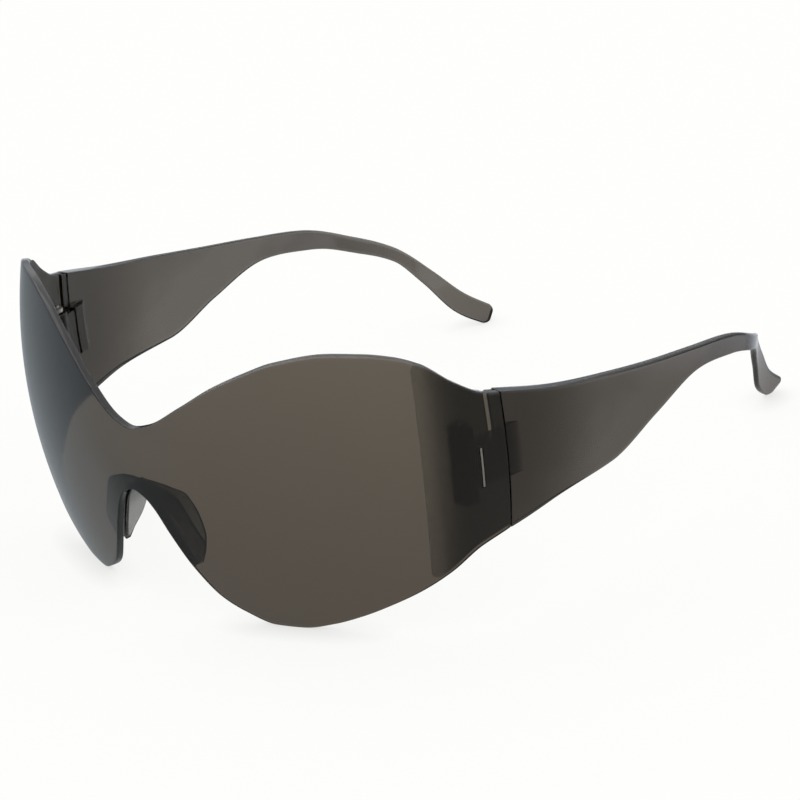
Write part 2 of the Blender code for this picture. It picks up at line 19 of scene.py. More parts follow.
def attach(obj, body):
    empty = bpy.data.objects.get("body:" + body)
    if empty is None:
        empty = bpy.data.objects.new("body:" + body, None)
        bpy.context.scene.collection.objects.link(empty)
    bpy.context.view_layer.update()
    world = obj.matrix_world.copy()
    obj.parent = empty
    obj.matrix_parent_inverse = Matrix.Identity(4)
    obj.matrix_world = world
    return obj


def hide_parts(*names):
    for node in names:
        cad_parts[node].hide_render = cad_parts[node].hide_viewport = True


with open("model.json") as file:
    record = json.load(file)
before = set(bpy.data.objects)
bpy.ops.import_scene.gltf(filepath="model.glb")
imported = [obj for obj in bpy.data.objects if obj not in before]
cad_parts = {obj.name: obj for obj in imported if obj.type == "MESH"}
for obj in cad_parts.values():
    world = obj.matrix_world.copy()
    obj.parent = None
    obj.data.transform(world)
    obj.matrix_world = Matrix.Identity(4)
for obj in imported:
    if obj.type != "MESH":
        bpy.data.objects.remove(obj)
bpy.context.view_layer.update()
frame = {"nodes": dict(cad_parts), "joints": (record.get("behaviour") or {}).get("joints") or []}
print("solids:", sorted(frame["nodes"]))

# %% [markdown]
# ## The camera
#
# A photograph of a small thing is often taken from some way off with a long lens, which keeps the near and
# the far end at about the same scale. The camera could be placed by eye, but then nothing would line up.
# Here it is given by numbers that a photographer would understand: how far round the object it stands, how
# high, how far away, how much it leans, and the focal length. Its three directions make the columns of its
# rotation.

# %% Place the camera at the photograph's angle
ROUND_THE_OBJECT, ABOVE_THE_TABLE, LEAN = (math.radians(angle) for angle in (41.33, 23.19, -3.48))
CAMERA_DISTANCE = 0.758
AIM = Vector((0.0017, -0.0033, 0.0216))
FOCAL_LENGTH_MM = 140.3

sine, cosine = math.sin(ROUND_THE_OBJECT), math.cos(ROUND_THE_OBJECT)
level_right = Vector((cosine, sine, 0))
level, raised = math.cos(ABOVE_THE_TABLE), math.sin(ABOVE_THE_TABLE)
away = Vector((sine * level, -cosine * level, raised))
level_up = away.cross(level_right)
right = level_right * math.cos(LEAN) + level_up * math.sin(LEAN)
up = level_up * math.cos(LEAN) - level_right * math.sin(LEAN)

camera = bpy.data.objects.new("camera", bpy.data.cameras.new("camera"))
bpy.context.scene.collection.objects.link(camera)
camera.data.lens = FOCAL_LENGTH_MM
turn = Matrix((right, up, away)).transposed()
camera.matrix_world = Matrix.Translation(AIM + away * CAMERA_DISTANCE) @ turn.to_4x4()
bpy.context.scene.camera = camera
print("camera at", [round(value, 3) for value in camera.matrix_world.translation])

# %% [markdown]
# ## Helpers for materials
#
# Colours are written as the hex values that a colour picker gives, which are sRGB. Blender's shaders work
# with linear light, so one function turns one into the other. A second function adds a shader node, sets
# its own settings, and fills each of its inputs with a number, a colour or a link, so that a material reads
# as a recipe. Three more take up what many recipes need: an empty material, a soft step from one value to
# another, and a mix of two colours.

# %% Colours and nodes


def linear(hex_colour):
    """The linear red, green and blue of an sRGB hex colour."""
    shares = [int(hex_colour[place : place + 2], 16) / 255 for place in (1, 3, 5)]
    return [share / 12.92 if share <= 0.04045 else ((share + 0.055) / 1.055) ** 2.4 for share in shares]


def add(tree, kind, inputs=None, **settings):
    """Adds a node to the tree, sets its settings, and fills or links its inputs by name or number."""
    node = tree.nodes.new(kind)
    for name, value in settings.items():
        setattr(node, name, value)
    for name, value in (inputs or {}).items():
        if isinstance(value, bpy.types.NodeSocket):
            tree.links.new(value, node.inputs[name])
        else:
            node.inputs[name].default_value = value
    return node


def new_material(name):
    """A material without any nodes yet, and its node tree."""
    made = bpy.data.materials.new(name)
    made.use_nodes = True
    made.node_tree.nodes.clear()
    return made, made.node_tree


def soft_step(tree, value, start, end):
    """A share that goes softly from 0 to 1 while the value goes from the start to the end."""
    inputs = {"Value": value, "From Min": start, "From Max": end}
    return add(tree, "ShaderNodeMapRange", inputs, interpolation_type="SMOOTHSTEP").outputs[0]


def blend(tree, share, *colours):
    """Two colours mixed by a share. Each is a hex colour or a link."""
    first, second = ((*linear(colour), 1) if isinstance(colour, str) else colour for colour in colours)
    return add(tree, "ShaderNodeMix", {"Factor": share, 6: first, 7: second}, data_type="RGBA").outputs[2]


print("mid grey #808080 is", round(linear("#808080")[0], 3), "in linear light")

# %% [markdown]
# ## The studio
#
# The photograph shows the glasses on pure white, with only a faint soft shadow where they touch the table.
# Lighting the table until it burns out would light the glasses far too much. So the table gives off most of
# its white by itself, but only to rays that come from the camera or through the tinted plastic. The rest of
# its white is ordinary matt paint, and that part keeps the shadow. The table's own light fades a little
# where something stands within 7 mm of it, which makes the small shadows under what touches it.
#
# The plastic in the photograph mirrors a studio that is dimmer than the white behind the glasses. So a
# mirrored ray meets a greyer table: bluish towards the left, and lighter behind the glasses. Those tones
# belong to places on the table, and stay there when the camera moves. Cycles counts a ray that has come
# through clear plastic as a glossy one too, so those rays are taken off again.

# %% The table
TABLE_WHITE = "#FFFFFD"
TABLE_OWN_LIGHT = 0.88
TABLE_SIZE = 12.0
CONTACT_REACH, CONTACT_SHADE = 0.007, 0.25
MIRRORED_LEFT, MIRRORED_RIGHT, MIRRORED_BEHIND, MIRRORED_FAR = "#A9B1B6", "#918F8B", "#C8C8C6", "#E6EAF2"
LEFT_OF_TABLE, RIGHT_OF_TABLE = -0.12, 0.10
BEHIND, BEHIND_OUTER, BEHIND_INNER = (-0.02, 0.06, 0), 0.11, 0.04
FAR_START, FAR_END = 0.07, 0.13


def ray_kinds(tree):
    """The kinds of ray that arrive, and whether one comes from the camera or through clear plastic."""
    path = add(tree, "ShaderNodeLightPath")
    straight = {0: path.outputs["Is Camera Ray"], 1: path.outputs["Is Transmission Ray"]}
    return path, add(tree, "ShaderNodeMath", straight, operation="MAXIMUM").outputs[0]


table_paint, tree = new_material("matt white table")
white = (*linear(TABLE_WHITE), 1)
path, seen = ray_kinds(tree)
own = add(tree, "ShaderNodeMath", {0: seen, 1: TABLE_OWN_LIGHT}, operation="MULTIPLY")
contact = add(tree, "ShaderNodeAmbientOcclusion", {"Distance": CONTACT_REACH}, samples=8)
shaded = add(
    tree, "ShaderNodeMapRange", {"Value": contact.outputs["AO"], "To Min": 1 - CONTACT_SHADE, "To Max": 1.0}
)
glow = add(tree, "ShaderNodeEmission", {"Color": white, "Strength": shaded.outputs[0]})
paint = add(tree, "ShaderNodeBsdfDiffuse", {"Color": white})
both = add(tree, "ShaderNodeMixShader", {0: own.outputs[0], 1: paint.outputs[0], 2: glow.outputs[0]})

here = add(tree, "ShaderNodeTexCoord").outputs["Object"]
table_place = add(tree, "ShaderNodeSeparateXYZ", {0: here})
rightward = soft_step(tree, table_place.outputs["X"], LEFT_OF_TABLE, RIGHT_OF_TABLE)
card = blend(tree, rightward, MIRRORED_LEFT, MIRRORED_RIGHT)
from_behind = add(tree, "ShaderNodeVectorMath", {0: here, 1: BEHIND}, operation="DISTANCE")
nearness = soft_step(tree, from_behind.outputs["Value"], BEHIND_OUTER, BEHIND_INNER)
card = blend(tree, nearness, card, MIRRORED_BEHIND)
farness = soft_step(tree, table_place.outputs["Y"], FAR_START, FAR_END)
card = blend(tree, farness, card, MIRRORED_FAR)
mirrored_table = add(tree, "ShaderNodeEmission", {"Color": card, "Strength": 1.0})
reflected = add(
    tree,
    "ShaderNodeMath",
    {0: path.outputs["Is Glossy Ray"], 1: path.outputs["Is Transmission Ray"]},
    operation="SUBTRACT",
    use_clamp=True,
)
whole = add(
    tree, "ShaderNodeMixShader", {0: reflected.outputs[0], 1: both.outputs[0], 2: mirrored_table.outputs[0]}
)
add(tree, "ShaderNodeOutputMaterial", {"Surface": whole.outputs[0]})

half = TABLE_SIZE / 2
corners = [(-half, -half, 0), (half, -half, 0), (half, half, 0), (-half, half, 0)]
table_mesh = bpy.data.meshes.new("table")
table_mesh.from_pydata(corners, [], [(0, 1, 2, 3)])
table_mesh.materials.append(table_paint)
table = bpy.data.objects.new("table", table_mesh)
bpy.context.scene.collection.objects.link(table)
print("table", TABLE_SIZE, "m across")

# %% [markdown]
# Glossy plastic is only as good as what it mirrors. In a plain white room it would look flat, so the room
# is brighter on one side, as a studio with one large window is: cool and bright to the left and overhead,
# dimmer to the right and behind the camera. The brightness depends on the direction in the room, so it
# stays where it is when the camera moves. Rays that light the room's matt surfaces see one plain white.

# %% The room round the table
ROOM_LIGHT = 0.80
ROOM_DIM, ROOM_BRIGHT, ROOM_ABOVE = "#A3A19E", "#AFB8C2", "#FFFFFF"
CEILING_STRENGTH = 1.1
CEILING_START, CEILING_FULL = 0.05, 0.42
BRIGHT_SIDE = (-0.80, -0.15, 0.58)
BRIGHT_START, BRIGHT_FULL = -0.5, 0.9

world = bpy.data.worlds.new("white room")
bpy.context.scene.world = world
world.use_nodes = True
tree = world.node_tree
tree.nodes.clear()
path, seen = ray_kinds(tree)
room = add(tree, "ShaderNodeTexCoord")
towards = add(
    tree, "ShaderNodeVectorMath", {0: room.outputs["Generated"], 1: BRIGHT_SIDE}, operation="DOT_PRODUCT"
)
brightness = soft_step(tree, towards.outputs["Value"], BRIGHT_START, BRIGHT_FULL)
walls = blend(tree, brightness, ROOM_DIM, ROOM_BRIGHT)
upward = add(tree, "ShaderNodeSeparateXYZ", {0: room.outputs["Generated"]}).outputs["Z"]
overhead = soft_step(tree, upward, CEILING_START, CEILING_FULL)
ceiling = add(tree, "ShaderNodeMapRange", {"Value": overhead, "To Min": 1.0, "To Max": CEILING_STRENGTH})
mirrored_room = blend(tree, overhead, walls, ROOM_ABOVE)
plain = add(tree, "ShaderNodeBackground", {"Color": (1, 1, 1, 1), "Strength": ROOM_LIGHT})
backdrop = add(tree, "ShaderNodeBackground", {"Color": white, "Strength": 1.0})
reflection = add(tree, "ShaderNodeBackground", {"Color": mirrored_room, "Strength": ceiling.outputs[0]})
lit = add(
    tree,
    "ShaderNodeMixShader",
    {0: path.outputs["Is Glossy Ray"], 1: plain.outputs[0], 2: reflection.outputs[0]},
)
shown = add(tree, "ShaderNodeMixShader", {0: seen, 1: lit.outputs[0], 2: backdrop.outputs[0]})
add(tree, "ShaderNodeOutputWorld", {"Surface": shown.outputs[0]})

WINDOW_STRENGTH = 0.63
WINDOW_SOFTNESS = math.radians(70)
WINDOW_TURN = (math.radians(12), math.radians(-28), 0)
window = bpy.data.objects.new("window", bpy.data.lights.new("window", "SUN"))
bpy.context.scene.collection.objects.link(window)
window.data.energy = WINDOW_STRENGTH
window.data.angle = WINDOW_SOFTNESS
window.rotation_euler = WINDOW_TURN
bpy.context.scene.view_settings.view_transform = "Standard"
print("room light", ROOM_LIGHT, "and window", WINDOW_STRENGTH)

# %% [markdown]
# ## The curve that everything follows
#
# The shield and the temples are parts of one bent sheet. Seen from above, the sheet starts flat across the
# nose, turns sharply at the face's corners and then runs back past the ears. It could be a Bezier curve,
# but a curve given by how much it bends at each place has no bumps, and mirrored light would show every
# bump. The bends are summed once to give the heading, and again to give the place. The sizes are those of
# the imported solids.

# %% Sizes of the shield, in metres
HALF_ARC = 0.0901
WRAP = math.radians(80)
LENS_THICKNESS = 0.0018
BOW_RADIUS, BOW_HEIGHT = 0.135, 0.0374
BRIDGE_TOP, NOTCH_TOP = 0.0479, 0.0331
LOBE_TOP, LOBE_TOP_ARC, LOBE_BOTTOM_ARC = 0.0682, 0.0500, 0.0370
SEAM_TOP, SEAM_BOTTOM = 0.0531, 0.0195
RIDGE_HEIGHT, RIDGE_ARC = 0.0012, 0.0120
TEMPLE_TOP_ARC, TEMPLE_BOTTOM_ARC = 0.1390, 0.1350
TEMPLE_TURN = math.radians(35)
LENS_BEND = ((0, 0.56), (0.26, 0.29), (0.53, 0.25), (0.79, 1.03), (1, 0.285))
TURN_ALONG_TEMPLE = (
    (0, 0),
    (0.14, 0.22),
    (0.28, 0.305),
    (0.42, 0.365),
    (0.56, 0.425),
    (0.66, 0.45),
    (0.73, 0.90),
    (0.80, 1.21),
    (0.87, 0.74),
    (0.94, 0.48),
    (1, 0.13),
)
TOP_RISE = ((0, 0), (0.09, 0.056), (0.27, 0.319), (0.44, 0.582), (0.60, 0.77), (0.75, 0.905), (1, 1))
TOP_FALL = ((0, 0), (0.20, 0.022), (0.37, 0.093), (0.55, 0.273), (0.72, 0.615), (0.90, 0.918), (1, 1))
NOTCH_FALL = (
    (0, 0),
    (0.08, 0.04),
    (0.14, 0.12),
    (0.22, 0.305),
    (0.33, 0.55),
    (0.48, 0.785),
    (0.63, 0.902),
    (0.81, 0.99),
    (1, 1),
)
BOTTOM_RISE = (
    (0, 0),
    (0.14, 0.075),
    (0.28, 0.204),
    (0.42, 0.363),
    (0.56, 0.525),
    (0.70, 0.706),
    (0.85, 0.921),
    (1, 1),
)
print("the shield is", round(2000 * HALF_ARC), "mm round its curve")

# %% A smooth line through a few points


def smooth(points, at, level_start=False, level_end=False):
    """A smooth curve through the points that never overshoots between them, with level ends where asked."""
    x, y = np.array(points, float).T
    slopes, steps = np.diff(y) / np.diff(x), np.diff(x)
    tangents = np.zeros(len(x))
    for i in range(1, len(x) - 1):
        before, after = slopes[i - 1], slopes[i]
        if before * after > 0:
            near, far = 2 * steps[i] + steps[i - 1], steps[i] + 2 * steps[i - 1]
            tangents[i] = (near + far) / (near / before + far / after)
    tangents[0] = 0 if level_start else slopes[0]
    tangents[-1] = 0 if level_end else slopes[-1]
    at = np.clip(np.asarray(at, float), x[0], x[-1])
    i = np.clip(np.searchsorted(x, at, side="right") - 1, 0, len(x) - 2)
    t = (at - x[i]) / steps[i]
    start = y[i] * (1 + 2 * t) * (1 - t) ** 2 + tangents[i] * steps[i] * t * (1 - t) ** 2
    end = y[i + 1] * (3 - 2 * t) * t**2 + tangents[i + 1] * steps[i] * t**2 * (t - 1)
    return start + end


def running_sum(values, at):
    """The area under the values, from the first place up to each place."""
    return np.concatenate([[0], np.cumsum((values[1:] + values[:-1]) / 2 * np.diff(at))])


print("halfway up the rise of the top edge:", round(float(smooth(TOP_RISE, 0.5)), 3))

# %% The plan curve
PLAN_STEPS = 800
lens_share, temple_share = np.linspace(0, 1, PLAN_STEPS), np.linspace(0, 1, PLAN_STEPS)[1:]
bend = running_sum(smooth(LENS_BEND, lens_share, level_start=True), lens_share)
PLAN_ARC = np.concatenate([HALF_ARC * lens_share, HALF_ARC + TEMPLE_TOP_ARC * temple_share])
temple_heading = WRAP + TEMPLE_TURN * smooth(TURN_ALONG_TEMPLE, temple_share)
HEADING = np.concatenate([WRAP * bend / bend[-1], temple_heading])
PLAN_X, PLAN_Y = running_sum(np.cos(HEADING), PLAN_ARC), running_sum(np.sin(HEADING), PLAN_ARC)
print("the seam is", round(1000 * float(np.interp(HALF_ARC, PLAN_ARC, PLAN_X)), 1), "mm from the middle")

# %% [markdown]
# A point of any piece is given by three numbers: how far it is round the curve, how high, and how deep
# inside the outer surface. The surface also bows in a little above and below the middle, and stands forward
# by the nose. The glasses rest tilted, on the shield's two lobes and on the tips of the temples. The packed
# hinge gives both the tilt, which is the lean of its axis, and the shift, which is what brings the hinge to
# its place.

# %% From the curve to the room


def bow(height):
    """How far the surface has bowed in at a height."""
    return (height - BOW_HEIGHT) ** 2 / (2 * BOW_RADIUS)


def on_curve(arc, height, depth):
    """Points of the upright glasses, as rows of x, y and z. A negative arc is on the left half."""
    arc, height, depth = np.broadcast_arrays(*(np.asarray(value, float) for value in (arc, height, depth)))
    along = np.abs(arc)
    heading = np.interp(along, PLAN_ARC, HEADING)
    below = np.clip((BRIDGE_TOP - height) / (BRIDGE_TOP - NOTCH_TOP), 0, 1)
    ridge = RIDGE_HEIGHT * below**2 * (3 - 2 * below) * np.exp(-((along / RIDGE_ARC) ** 2))
    inward = depth + bow(height) - ridge
    x = np.interp(along, PLAN_ARC, PLAN_X) - inward * np.sin(heading)
    y = np.interp(along, PLAN_ARC, PLAN_Y) + inward * np.cos(heading)
    return np.stack([np.copysign(x, arc), y, height], axis=-1)


# %% Hinge sizes, and the tilt and shift
TOUCH_GAP, SEAM_GAP = 0.0003, 0.0003
END_PIECE_THICKNESS = 0.0009
HINGE_SETBACK, HINGE_HEIGHT = 0.0092, 0.0376
KNUCKLE_RADIUS, TONGUE_HEIGHT, TONGUE_THICKNESS = 0.0022, 0.0115, 0.0012
HINGE_ARC = HALF_ARC - HINGE_SETBACK
TONGUE_DEPTH = LENS_THICKNESS + 2 * TOUCH_GAP + END_PIECE_THICKNESS
HINGE_DEPTH = TONGUE_DEPTH + KNUCKLE_RADIUS + bow(HINGE_HEIGHT + TONGUE_HEIGHT / 2) - bow(HINGE_HEIGHT)

fold = next(joint for joint in frame["joints"] if joint["name"] == "right_temple_fold")
tilt_angle = -math.asin(fold["axis"][1])
TILT = Matrix.Rotation(tilt_angle, 3, "X")
upright_hinge = Vector(on_curve(HINGE_ARC, HINGE_HEIGHT, HINGE_DEPTH))
SHIFT = Vector(fold["pos_m"]) - TILT @ upright_hinge


def settle(points):
    """Points of the upright glasses, as they rest on the table."""
    return np.asarray(points) @ np.array(TILT).T + np.array(SHIFT)


lowest = settle(on_curve(LOBE_BOTTOM_ARC, 0, 0))[2]
print("tilt", round(math.degrees(tilt_angle), 2), "degrees, lobe", round(1000 * lowest, 2), "mm up")

# %% [markdown]
# ## Skins
#
# Every moulded piece here is a thick sheet with rounded edges. Blender's Solidify and Bevel modifiers can
# make that from a plain surface, but they give uneven corners on an outline as curved as this one. Instead
# each piece is drawn as rings: one turn round the sheet's section, up the outer face and down the inner
# one, at many places along the curve. Joining neighbouring rings with quads gives one closed, even skin.

# %% Rings and skins


def ring_plan(rows, corner_steps):
    """One turn round a rounded section: share across, rounding across, share through, rounding through."""
    quarter = np.linspace(0, math.pi / 2, corner_steps + 1)
    sine, cosine, start, end = np.sin(quarter), np.cos(quarter), 0 * quarter, 0 * quarter + 1
    across = np.arange(1, rows) / rows
    face = 0 * across
    parts = (
        (start, -cosine, start, -sine),
        (across, face, face, face - 1),
        (end, sine, start, -cosine),
        (end, cosine, end, sine),
        (across[::-1], face, face + 1, face + 1),
        (start, -sine, end, cosine),
    )
    return np.concatenate([np.stack(part) for part in parts], axis=1)


def sheet_rings(side, low, high, front, back, rounding, rows=48, corner_steps=5, drawn_in=0):
    """Rings round a sheet between two edges, each (arc, height) along the curve, and between two depths.
    rounding is (across at the low edge, across at the high edge, through), and drawn_in is how far both edges
    come in towards each other. Every value may be an array along the sheet."""
    share, edge, through, lip = ring_plan(rows, corner_steps)
    low_arc, low_height, high_arc, high_height, front, back = (
        np.asarray(value, float)[:, None] for value in np.broadcast_arrays(*low, *high, front, back)
    )
    low_round, high_round, deep = (
        np.broadcast_to(value, len(front)).astype(float)[:, None] for value in rounding
    )
    length = np.hypot(high_arc - low_arc, high_height - low_height)
    edge_round = np.where(edge < 0, low_round, high_round)
    reach = low_round + (length - low_round - high_round) * share + edge_round * edge
    inset = np.broadcast_to(drawn_in, len(front)).astype(float)[:, None] / length
    reach = inset + (1 - 2 * inset) * reach / length
    depth = front + deep + (back - front - 2 * deep) * through + deep * lip
    arc = low_arc + (high_arc - low_arc) * reach
    height = low_height + (high_height - low_height) * reach
    return on_curve(side * arc, height, depth)


def skin(rings, flip):
    """Points and quads of a closed skin over the rings, with each end closed by a strip of quads."""
    stations, count = rings.shape[:2]
    station, place = np.meshgrid(np.arange(stations - 1), np.arange(count), indexing="ij")
    after = (place + 1) % count
    quads = np.stack([station, station, station + 1, station + 1]) * count
    quads = (quads + np.stack([place, after, after, place])).reshape(4, -1).T
    near = np.arange(count // 2 - 1)
    cap = np.stack([near, count - 1 - near, count - 2 - near, near + 1], axis=1)
    last = (stations - 1) * count
    faces = np.concatenate([quads, cap, cap[:, ::-1] + last])
    return rings.reshape(-1, 3), faces[:, ::-1] if flip else faces


SHARP_ANGLE = math.radians(40)


def new_mesh(name, points, faces, surface):
    """A smooth-shaded mesh object in the resting place, with real corners kept sharp."""
    mesh = bpy.data.meshes.new(name)
    mesh.from_pydata(settle(points).tolist(), [], [list(map(int, face)) for face in faces])
    mesh.update()
    mesh.materials.append(surface)
    mesh.shade_smooth()
    mesh.set_sharp_from_angle(angle=SHARP_ANGLE)
    made = bpy.data.objects.new(name, mesh)
    bpy.context.scene.collection.objects.link(made)
    return made


def rounded_end(distance, radius):
    """How far a section draws in, at a distance from an end that is rounded with this radius."""
    left = np.clip(1 - np.asarray(distance, float) / radius, 0, 1)
    return radius * (1 - np.sqrt(1 - left**2))


print("a section has", ring_plan(48, 5).shape[1], "points")

# %% [markdown]
# ## Smoke-tinted plastic
#
# The shield is moulded from clear polycarbonate with a smoke dye right through it, and polished. It can't
# be a dark paint: what makes it look real is that its thin parts are lighter and its edges, where light
# runs a long way inside, are nearly black. So the colour is in a volume that takes light away by the
# millimetre. The surface is clear, with polycarbonate's index of 1.58, and it is not quite even: polishing
# leaves a very slight waviness some centimetres long, and handling leaves a faint haze, which both show
# only in the mirrored light. The dye's density is one number for a whole piece, and the surface colour also
# fades along one direction of each piece. On the shield and the temples that fade is painted shade, in the
# places given with each of them.

# %% Smoke plastic
MM = 0.001
CLOUD_MM, HAZE_MM, GRAIN_MM = 9, 14, 0.6
CLOUD_STRENGTH = 0.16
HAZE_FROM, HAZE_TO = 0.32, 0.68


def noise(tree, vector, size_mm, inputs):
    """Smooth noise whose largest waves are about this long, in mm."""
    made = add(tree, "ShaderNodeTexNoise", {"Vector": vector, "Scale": 1 / (size_mm * MM), **inputs})
    return made.outputs["Fac"]


def tinted_plastic(name, tint, density, fade, index, sheen, wave, grain_height=0):
    """Clear plastic, dyed through, hazed and faintly wavy. Its surface colour fades along one direction,
    which
    paints shade on some pieces: fade is that direction and then the colour at each place along it, in mm.
    Wave is a length and height in mm."""
    direction, stops = fade
    first, last = stops[0][0], stops[-1][0]
    made, tree = new_material(name)
    here = add(tree, "ShaderNodeTexCoord").outputs["Object"]
    along = add(tree, "ShaderNodeVectorMath", {0: here, 1: direction}, operation="DOT_PRODUCT")
    faded = add(
        tree,
        "ShaderNodeMapRange",
        {"Value": along.outputs["Value"], "From Min": first * MM, "From Max": last * MM},
    )
    cloud = noise(tree, here, CLOUD_MM, {"Detail": 3.0, "Roughness": 0.6})
    fleck = add(
        tree,
        "ShaderNodeMath",
        {0: cloud, 1: CLOUD_STRENGTH, 2: -CLOUD_STRENGTH / 2},
        operation="MULTIPLY_ADD",
    )
    mixed = add(
        tree, "ShaderNodeMath", {0: faded.outputs[0], 1: fleck.outputs[0]}, operation="ADD", use_clamp=True
    )
    clear = add(tree, "ShaderNodeValToRGB", {"Fac": mixed.outputs[0]})
    shades = clear.color_ramp.elements
    while len(shades) < len(stops):
        shades.new(0.5)
    for shade, (at, colour) in zip(shades, stops):
        shade.position = (at - first) / (last - first)
        shade.color = (*linear(colour), 1)
    haze = noise(tree, here, HAZE_MM, {"Detail": 5.0, "Roughness": 0.62})
    rough = add(
        tree,
        "ShaderNodeMapRange",
        {
            "Value": haze,
            "From Min": HAZE_FROM,
            "From Max": HAZE_TO,
            "To Min": sheen[0],
            "To Max": sheen[1],
        },
    )
    swell = noise(tree, here, wave[0], {"Detail": 1.0})
    waved = add(tree, "ShaderNodeBump", {"Height": swell, "Distance": wave[1] * MM, "Strength": 1.0})
    if grain_height:
        grain = noise(tree, here, GRAIN_MM, {"Detail": 2.0})
        waved = add(
            tree,
            "ShaderNodeBump",
            {
                "Height": grain,
                "Distance": grain_height * MM,
                "Strength": 1.0,
                "Normal": waved.outputs[0],
            },
        )
    shader = add(
        tree,
        "ShaderNodeBsdfPrincipled",
        {
            "Base Color": clear.outputs[0],
            "Roughness": rough.outputs[0],
            "IOR": index,
            "Transmission Weight": 1.0,
            "Normal": waved.outputs[0],
        },
    )
    dye = add(tree, "ShaderNodeVolumeAbsorption", {"Color": (*linear(tint), 1), "Density": density})
    add(tree, "ShaderNodeOutputMaterial", {"Surface": shader.outputs[0], "Volume": dye.outputs[0]})
    return made


LENS_DYE = ("#786238", 1420)
# Painted shade: the shield's surface colour is a little darker near the table, fading out 65 mm up.
LENS_PAINTED_SHADE = ((0, 0, 1), ((0, "#E5E4E2"), (65, "#FBFBFB")))
lens_plastic = tinted_plastic(
    "polished smoke polycarbonate", *LENS_DYE, LENS_PAINTED_SHADE, 1.58, sheen=(0.012, 0.05), wave=(28, 0.02)
)
let_through = [math.exp(-LENS_THICKNESS * LENS_DYE[1] * (1 - value)) for value in linear(LENS_DYE[0])]
print("lens plastic lets through", [round(value, 3) for value in let_through])

# %% [markdown]
# ## The shield
#
# The outline is given by two lines over the curve: the top edge, from the bridge over the lobe to the seam,
# and the bottom edge, from the nose notch round the lobe to the seam. At each place one ring runs between
# them. The columns are half a millimetre apart, since any facet would show as a kink in the mirrored light.
# The edges are rounded by a polishing wheel to about a third of a millimetre.

# %% The shield's edges


def lens_top(arc):
    """Height of the shield's top edge: up from the bridge to the lobe, then down to the seam."""
    rise = smooth(TOP_RISE, arc / LOBE_TOP_ARC, level_start=True, level_end=True)
    fall = smooth(TOP_FALL, (arc - LOBE_TOP_ARC) / (HALF_ARC - LOBE_TOP_ARC), level_start=True)
    return BRIDGE_TOP + (LOBE_TOP - BRIDGE_TOP) * rise - (LOBE_TOP - SEAM_TOP) * fall


def lens_bottom(arc):
    """Height of the shield's bottom edge: down the nose notch to the lobe, then up to the seam."""
    fall = smooth(NOTCH_FALL, arc / LOBE_BOTTOM_ARC, level_start=True, level_end=True)
    rise = smooth(BOTTOM_RISE, (arc - LOBE_BOTTOM_ARC) / (HALF_ARC - LOBE_BOTTOM_ARC), level_start=True)
    return NOTCH_TOP * (1 - fall) + SEAM_BOTTOM * rise


# %% The shield's skin
COLUMN = 0.0005
EDGE_RADIUS, SEAM_RADIUS, RADIUS_LOST = 0.00035, 0.00012, 0.9

seam_steps = SEAM_RADIUS * (1 - np.cos(np.linspace(0, math.pi / 2, 5)))
half_arcs = np.concatenate([np.arange(0, HALF_ARC - COLUMN, COLUMN), (HALF_ARC - seam_steps)[::-1]])
arcs = np.concatenate([-half_arcs[:0:-1], half_arcs])
along = np.abs(arcs)
slopes = [np.gradient(edge(half_arcs), half_arcs) for edge in (lens_bottom, lens_top)]
steep = [np.interp(along, half_arcs, np.sqrt(1 + slope**2)) for slope in slopes]
drawn_in = rounded_end(HALF_ARC - along, SEAM_RADIUS)
rings = sheet_rings(
    1,
    (arcs, lens_bottom(along)),
    (arcs, lens_top(along)),
    drawn_in,
    LENS_THICKNESS - drawn_in,
    (EDGE_RADIUS * steep[0], EDGE_RADIUS * steep[1], EDGE_RADIUS - RADIUS_LOST * drawn_in),
    rows=60,
    drawn_in=drawn_in,
)
shield = new_mesh("polished_shield", *skin(rings, flip=True), lens_plastic)
print("shield:", len(shield.data.polygons), "faces")

# %% [markdown]
# The steel tab of each hinge shows through a thin upright slot near the seam. Cutting it needs a block that
# goes right through the shield, and Blender's exact Boolean. The block follows the same curve, so the
# slot's sides stay square to the surface. The cutters are deleted once their Booleans are applied.

# %% Blocks, turned shapes and cuts


def curved_block(side, arcs, heights, depths, stations=2, rows=24, rounding=0.0):
    """Points and quads of a block that follows the curve, between two arcs, heights and depths."""
    stops = np.linspace(*arcs, stations + 1)
    radius = max(rounding, 1e-6)
    low, high = (stops, heights[0]), (stops, heights[1])
    rings = sheet_rings(side, low, high, *depths, (radius,) * 3, rows, corner_steps=3)
    return skin(rings, flip=side > 0)


def turned(centre, profile, steps=64):
    """Points and faces of a solid turned about the upright through a centre, from (radius, height) pairs."""
    angles = np.linspace(0, 2 * math.pi, steps, endpoint=False)
    points, faces = [], []
    for radius, height in profile:
        ring = np.stack([radius * np.cos(angles), radius * np.sin(angles), 0 * angles + height], axis=1)
        points.extend(ring + np.array(centre))
    for level in range(len(profile) - 1):
        for step in range(steps):
            a, b = level * steps + step, level * steps + (step + 1) % steps
            faces.append((a, b, b + steps, a + steps))
    faces.append(tuple(reversed(range(steps))))
    faces.append(tuple(range((len(profile) - 1) * steps, len(profile) * steps)))
    return np.array(points), faces


def combine(target, operation, *tools):
    """Applies one exact Boolean with each tool in turn, deletes the tools and shades the result again."""
    for tool in tools:
        change = target.modifiers.new(operation, "BOOLEAN")
        change.operation, change.solver, change.object = operation, "EXACT", tool
    graph = bpy.context.evaluated_depsgraph_get()
    result = bpy.data.meshes.new_from_object(target.evaluated_get(graph))
    target.modifiers.clear()
    old, target.data = target.data, result
    bpy.data.meshes.remove(old)
    for tool in tools:
        bpy.data.objects.remove(tool)
    target.data.shade_smooth()
    target.data.set_sharp_from_angle(angle=SHARP_ANGLE)


# %% The slots for the hinge tabs
TAB_SETBACK, TAB_HEIGHT, TAB_THICKNESS, TAB_GAP = 0.0070, 0.0095, 0.0005, 0.0002
OVERRUN = 0.0010


